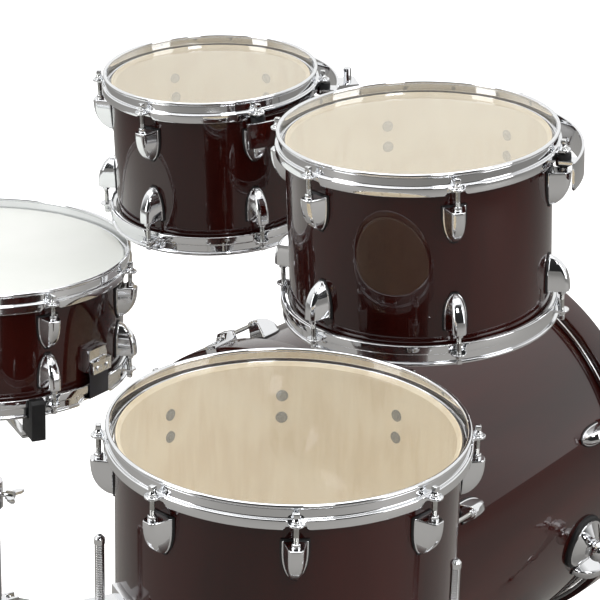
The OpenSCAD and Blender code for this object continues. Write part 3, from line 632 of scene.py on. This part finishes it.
def make_rods(d, node, seat):
    """Threaded rods, each with a washer, a collar and a square key head on top of its seat."""
    bm = bmesh.new()
    foot = -d.gap - 20 * MM
    s = seat / MM
    washer = in_mm([(0, s - 0.1), (5.8, s - 0.1), (5.8, s + 0.9), (5.4, s + 1.2), (0, s + 1.2)])
    collar = in_mm([(0, s + 1.2), (4.7, s + 1.2), (4.7, s + 2.4), (4.2, s + 2.9),
                    (3.5, s + 4.6), (3.3, s + 5.4), (0, s + 5.4)])
    low = (-3.1 * MM, -3.1 * MM, seat + 4.6 * MM)
    high = (3.1 * MM, 3.1 * MM, seat + 10.6 * MM)
    for end in d.ends():
        for a in d.bearings():
            at = end @ about_z(a) @ Matrix.Translation((d.r + d.out, 0, 0))
            shaft = [(0, foot), (2.3 * MM, foot), (2.75 * MM, foot + MM)]
            z = foot + 1.5 * MM
            while z < -d.gap + 11 * MM:
                shaft += [(2.8 * MM, z), (2.45 * MM, z + 0.5 * MM)]
                z += 1.0 * MM
            shaft += [(2.8 * MM, z), (2.8 * MM, seat), (0, seat)]
            transformed(bm, at, lambda b: turned(b, shaft, 12, 0))
            transformed(bm, at, lambda b: turned(b, washer, 24, 1))
            transformed(bm, at, lambda b: turned(b, collar, 24, 1))
            transformed(bm, at, lambda b: block(b, low, high, 0.9 * MM, 1))
    return piece(node + "_piece", bm, [RODS, TUBE], d.body, [node], d.at, 34)


def axis_of(joint):
    return JOINTS[joint]["axis"]


# rods = number of rods, a0 = bearing of the first, gap = head to lug, out = shell to rod axis
TOM_GAP = 29 * MM
UPWARD = [-x for x in axis_of("snare_wires_drop")]
SMALL = Drum("small_tom", "small_tom_shell", axis_of("small_tom_swivel"), rods=6, a0=35, gap=TOM_GAP)
LARGE = Drum("large_tom", "large_tom_shell", axis_of("large_tom_swivel"), rods=6, a0=21.4, gap=TOM_GAP)
FLOOR = Drum("floor_tom", "floor_tom_shell", (0, 0, 1), rods=8, a0=41.8, gap=TOM_GAP)
SNARE = Drum("snare", "snare_shell", UPWARD, rods=8, a0=26.8, gap=24 * MM)
BASS = Drum("bass", "bass_shell", (0, 1, 0), rods=8, a0=-67.5, gap=45 * MM, out=20 * MM)
ROD_SEAT = -2.5 * MM
CLAW_SEAT = 12 * MM
SNARE_GATES = (4.3, 184.3)

for drum in (SMALL, LARGE, FLOOR, SNARE, BASS):
    make_shell(drum)
    make_lugs(drum, drum.key + "_lugs")
    make_rods(drum, drum.key + "_tension_rods", CLAW_SEAT if drum is BASS else ROD_SEAT)
for drum in (SMALL, LARGE, FLOOR):
    film = FLOOR_FILM if drum is FLOOR else CLEAR
    make_head(drum, drum.key + "_batter_head", False, film)
    make_head(drum, drum.key + "_resonant_head", True, film)
    make_hoops(drum, drum.key + "_hoops")
make_head(SNARE, "snare_batter_head", False, COATED)
make_head(SNARE, "snare_side_head", True, CLEAR)
make_hoops(SNARE, "snare_hoops", gate=SNARE_GATES)
make_head(BASS, "bass_batter_head", False, CLEAR)
make_head(BASS, "bass_front_head", True, CLEAR)

# ---- Bass drum hoops ----------------------------------------------------------------------------


def make_wood_hoops():
    """The two lacquered wood hoops of the bass drum."""
    r = BASS.r
    bm = bmesh.new()
    low, high, inner, outer = -5.1, 36.9, 3.7, 13.5
    ring = rounded([(inner, low), (outer, low), (outer, high), (inner, high)], [1, 2.2, 2.6, 2.6], 4)
    for end in BASS.ends():
        transformed(bm, end, lambda b: spin(b, [(r + x * MM, z * MM) for x, z in ring], even(180)))
    nodes = ["bass_hoops"]
    return piece("bass_hoops_piece", bm, [LACQUER], BASS.body, nodes, BASS.at, 30)


make_wood_hoops()
softened("bass_claws", [CHROME], 0.0012)

# ---- Remaining hardware -------------------------------------------------------------------------

BAND_LOW = -42 * MM
BAND_TOP = -10 * MM
TRIM = 0.9 * MM
SPUR_BEARING = 100
SPUR_FROM_FRONT = 91 * MM


def mount_pick(d, mid):
    """Rubber for the grommets round the rods and for the trim on the band's two edges."""
    home = d.at.inverted()
    rods = [about_z(mid + a) @ Vector((d.r + d.out, 0, 0)) for a in (-60, 0, 60)]

    def pick(c):
        q = home @ c
        ring = math.hypot(q.x, q.y) - d.r
        if 32 * MM < ring < 37 * MM and (q.z > BAND_TOP - TRIM or q.z < BAND_LOW + TRIM):
            return 1
        near = min(math.hypot(q.x - a.x, q.y - a.y) for a in rods)
        return 1 if near < 9.2 * MM and not -19.2 * MM < q.z < -14.8 * MM else 0

    return pick


softened("small_tom_suspension", [CHROME, RUBBER], pick=mount_pick(SMALL, -145))
softened("large_tom_suspension", [CHROME, RUBBER], pick=mount_pick(LARGE, -98.6))


def spur_gasket(name, side):
    """Thick rubber ring between the shell and the domed spur bracket."""
    lo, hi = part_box("bass_shell")
    mid = (lo + hi) / 2
    bm = bmesh.new()
    section = in_mm([(33.2, -4), (39, -4), (39, 5), (33.2, 7)])
    ring = rounded(section, [0.4 * MM, 0.4 * MM, 3 * MM, 1 * MM], 4)
    rows = []
    for a in even(72):
        c, q = math.cos(math.radians(a)), math.sin(math.radians(a))
        rows.append([])
        for x, z in ring:
            sag = BASS.r - math.sqrt(BASS.r ** 2 - (x * c) ** 2)
            rows[-1].append(bm.verts.new((x * c, x * q, BASS.r + z - sag)))
    for i in range(len(rows)):
        a, b = rows[i], rows[(i + 1) % len(rows)]
        for k in range(len(ring)):
            bm.faces.new((a[k], b[k], b[(k + 1) % len(ring)], a[(k + 1) % len(ring)]))
    turn = Matrix.Rotation(math.radians(SPUR_BEARING * side), 4, "Y")
    at = Matrix.Translation((mid.x, lo.y + SPUR_FROM_FRONT, mid.z)) @ turn
    return piece(name, bm, [RUBBER], BASS.body, (), at, 50)


spur_gasket("spur_gasket_left", 1)
spur_gasket("spur_gasket_right", -1)

for n in ("spur_brackets", "tom_holder_base", "tom_holder_post", "small_tom_arm", "large_tom_arm",
          "floor_tom_leg_brackets", "throw_off", "throw_off_lever", "butt_plate", "stand_base_tube",
          "stand_top_tube", "basket_hub", "spur_tube_left", "spur_tube_right"):
    softened(n, [CHROME])

# Heights above the floor, in metres, where rubber or ridges end.
SPUR_TIP_TOP = 0.022
STAND_FOOT_TOP = 0.0205
LEG_FOOT_TOP = 0.037
RIDGES_LOW = 0.2
LEG_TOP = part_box("floor_tom_leg_a")[1][2]
RIDGES_HIGH = LEG_TOP - 0.0095
GRIP_START = 0.158  # from the hub's axis
for n in ("spur_rod_left", "spur_rod_right"):
    softened(n, [TUBE, RUBBER], pick=lambda c: 1 if c.z < SPUR_TIP_TOP else 0)


def leg_pick(c):
    """Rubber foot, then plain tube, then ridges up to the smooth cap."""
    if c.z < LEG_FOOT_TOP:
        return 1
    return 2 if RIDGES_LOW < c.z < RIDGES_HIGH else 0


for n in ("floor_tom_leg_a", "floor_tom_leg_b", "floor_tom_leg_c"):
    softened(n, [TUBE, RUBBER, RIDGED], pick=leg_pick)
for n in ("stand_leg_a", "stand_leg_b", "stand_leg_c"):
    softened(n, [TUBE, RUBBER], pick=lambda c: 1 if c.z < STAND_FOOT_TOP else 0)
hub = Vector(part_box("basket_hub")[0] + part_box("basket_hub")[1]) / 2
for n in ("basket_arm_a", "basket_arm_b", "basket_arm_c"):
    softened(n, [TUBE, RUBBER], 0.003,
             pick=lambda c: 1 if math.hypot(c.x - hub.x, c.y - hub.y) > GRIP_START else 0)
softened("snare_wires", [TUBE], 0.0003)
softened("snare_straps", [STRIP], 0.0002)

# ---- Floor, lights ------------------------------------------------------------------------------


def floor():
    bm = bmesh.new()
    bmesh.ops.create_grid(bm, x_segments=8, y_segments=8, size=30)
    mesh = bpy.data.meshes.new("floor")
    bm.to_mesh(mesh)
    bm.free()
    p = Paint("floor_white", Roughness=0.85)
    c = p.ramp(p.noise(0.6, 2), "Fac", [(0.3, (0.86, 0.86, 0.86)), (0.7, (0.88, 0.88, 0.88))])
    # Painted reflection: glossy rays see the floor as dark grey instead of its own white, so chrome and
    # lacquer reflect a painted dark floor. Camera rays see it glowing white.
    path, mix = p.node("LightPath"), p.node("Mix", data_type="RGBA")
    mix.inputs[7].default_value = (0.3, 0.29, 0.275, 1)
    p.link(path, "Is Glossy Ray", mix, 0)
    p.link(c, "Color", mix, 6)
    p.link(mix, 2, p.bsdf, "Base Color")
    glow = p.node("Math", operation="MULTIPLY")
    glow.inputs[1].default_value = 0.75
    p.link(path, "Is Camera Ray", glow, 0)
    p.link(glow, 0, p.bsdf, "Emission Strength")
    p.bsdf.inputs["Emission Color"].default_value = (1, 1, 1, 1)
    mesh.materials.append(p.m)
    obj = bpy.data.objects.new("floor", mesh)
    SCENE.collection.objects.link(obj)


def area(name, at, aim, size, power, colour=(1, 1, 1)):
    data = bpy.data.lights.new(name, "AREA")
    data.shape, data.size, data.size_y = "RECTANGLE", size[0], size[1]
    data.energy, data.color = power, colour
    obj = bpy.data.objects.new(name, data)
    SCENE.collection.objects.link(obj)
    obj.location = at
    obj.rotation_euler = (Vector(aim) - Vector(at)).to_track_quat("-Z", "Y").to_euler()
    return obj


def sky():
    world = bpy.data.worlds.new("studio")
    SCENE.world = world
    world.use_nodes = True
    t = world.node_tree
    back = t.nodes["Background"]
    tex, dot = t.nodes.new("ShaderNodeTexCoord"), t.nodes.new("ShaderNodeVectorMath")
    dot.operation = "DOT_PRODUCT"
    dot.inputs[1].default_value = (LOOK.x, LOOK.y, 0.25)
    ramp = t.nodes.new("ShaderNodeValToRGB")
    e = ramp.color_ramp.elements
    for k, (p, v) in enumerate([(0.0, 0.02), (0.34, 0.04), (0.47, 0.5), (0.62, 1.0)]):
        if k >= len(e):
            e.new(p)
        e[k].position, e[k].color = p, (v, v, v * 0.99, 1)
    half = t.nodes.new("ShaderNodeMapRange")
    half.inputs["From Min"].default_value = -1
    path, mix = t.nodes.new("ShaderNodeLightPath"), t.nodes.new("ShaderNodeMix")
    mix.data_type = "RGBA"
    mix.inputs[7].default_value = (1, 1, 1, 1)
    t.links.new(tex.outputs["Generated"], dot.inputs[0])
    t.links.new(dot.outputs["Value"], half.inputs["Value"])
    t.links.new(half.outputs["Result"], ramp.inputs["Fac"])
    t.links.new(ramp.outputs["Color"], mix.inputs[6])
    t.links.new(path.outputs["Is Camera Ray"], mix.inputs[0])
    t.links.new(mix.outputs[2], back.inputs["Color"])
    back.inputs["Strength"].default_value = 1.0


floor()
sky()
area("top", (0.2, 0.3, 3.2), (0, 0, 0.4), (3.4, 3.4), 46)
area("left", (-3.2, -0.6, 1.7), (0, 0, 0.5), (1.4, 2.6), 30)
area("right", (1.2, 3.2, 1.7), (0, 0, 0.5), (1.2, 2.6), 30)
area("front", (-2.6, 1.6, 3.0), (0, 0, 0.6), (0.9, 0.9), 22)
SCENE.view_settings.view_transform = "Standard"
